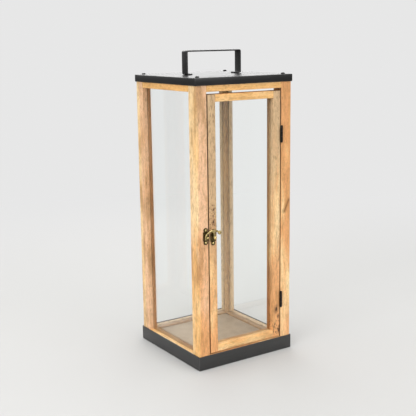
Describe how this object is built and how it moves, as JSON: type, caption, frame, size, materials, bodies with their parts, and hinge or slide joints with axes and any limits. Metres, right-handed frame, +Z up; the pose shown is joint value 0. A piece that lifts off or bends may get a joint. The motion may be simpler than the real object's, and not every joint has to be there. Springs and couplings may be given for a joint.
{
  "type": "candle lantern",
  "caption": "Tall square candle lantern: wooden frame with glass sides and a hinged glass door, black sheet-metal base tray and cap, strip carrying handle, brass hook latch.",
  "frame": {"origin": "middle of the base tray's underside, on the surface that the lantern stands on", "axes": "+Z up through the lantern, -Y out of the door, +X towards the door's hinges"},
  "size_m": [0.2, 0.2059, 0.54],
  "materials": {
    "frame_wood": "light oiled mango wood with brown streaks and small knots",
    "door_wood": "light oiled mango wood, a little paler and greyer than the frame",
    "floor_board": "smooth taupe-brown fibreboard",
    "black_metal": "satin black powder coat",
    "black_hinge": "black lacquered steel, worn at the knuckles",
    "black_fastener": "black oxide steel",
    "aged_brass": "antique brass, dark in the recesses and bright on the domes",
    "clear_glass": "clear float glass"
  },
  "bodies": {
    "frame": {"base_tray": "black_metal", "base_board": "floor_board", "cap": "black_metal", "handle": "black_metal", "handle_rivet_left": "black_metal", "handle_rivet_right": "black_metal", "post_front_left": "frame_wood", "post_front_right": "frame_wood", "post_back_left": "frame_wood", "post_back_right": "frame_wood", "cap_screw_front_left": "black_fastener", "cap_screw_front_right": "black_fastener", "cap_screw_back_left": "black_fastener", "cap_screw_back_right": "black_fastener", "base_screw_front_left": "black_fastener", "base_screw_front_right": "black_fastener", "base_screw_back_left": "black_fastener", "base_screw_back_right": "black_fastener", "top_rail_left": "frame_wood", "top_rail_right": "frame_wood", "top_rail_back": "frame_wood", "top_rail_front": "frame_wood", "bottom_rail_left": "frame_wood", "bottom_rail_right": "frame_wood", "bottom_rail_back": "frame_wood", "bottom_rail_front": "frame_wood", "pane_left": "clear_glass", "pane_right": "clear_glass", "pane_back": "clear_glass", "hinge_lower_frame_leaf": "black_hinge", "hinge_lower_frame_screw_low": "black_fastener", "hinge_lower_frame_screw_high": "black_fastener", "hinge_lower_pin": "black_hinge", "hinge_upper_frame_leaf": "black_hinge", "hinge_upper_frame_screw_low": "black_fastener", "hinge_upper_frame_screw_high": "black_fastener", "hinge_upper_pin": "black_hinge", "keeper_plate": "aged_brass", "keeper_stud": "aged_brass", "keeper_nail_lower": "aged_brass", "keeper_nail_upper": "aged_brass"},
    "door": {"door_latch_stile": "door_wood", "door_hinge_stile": "door_wood", "door_top_rail": "door_wood", "door_bottom_rail": "door_wood", "door_pane": "clear_glass", "hinge_lower_door_leaf": "black_hinge", "hinge_lower_door_screw_low": "black_fastener", "hinge_lower_door_screw_high": "black_fastener", "hinge_upper_door_leaf": "black_hinge", "hinge_upper_door_screw_low": "black_fastener", "hinge_upper_door_screw_high": "black_fastener", "latch_plate": "aged_brass", "latch_nail_lower": "aged_brass", "latch_nail_upper": "aged_brass", "latch_pivot_screw": "aged_brass"},
    "latch": {"latch_arm": "aged_brass"}
  },
  "joints": [
    {"name": "door_hinge", "type": "hinge", "parent": "frame", "child": "door", "pos_m": [0.0761, -0.1005, 0.2465], "axis": [0, 0, 1], "range_deg": [0, 175]},
    {"name": "latch_pivot", "type": "hinge", "parent": "door", "child": "latch", "pos_m": [-0.0669, -0.098, 0.2325], "axis": [0, 1, 0], "range_deg": [0, 80]}
  ]
}
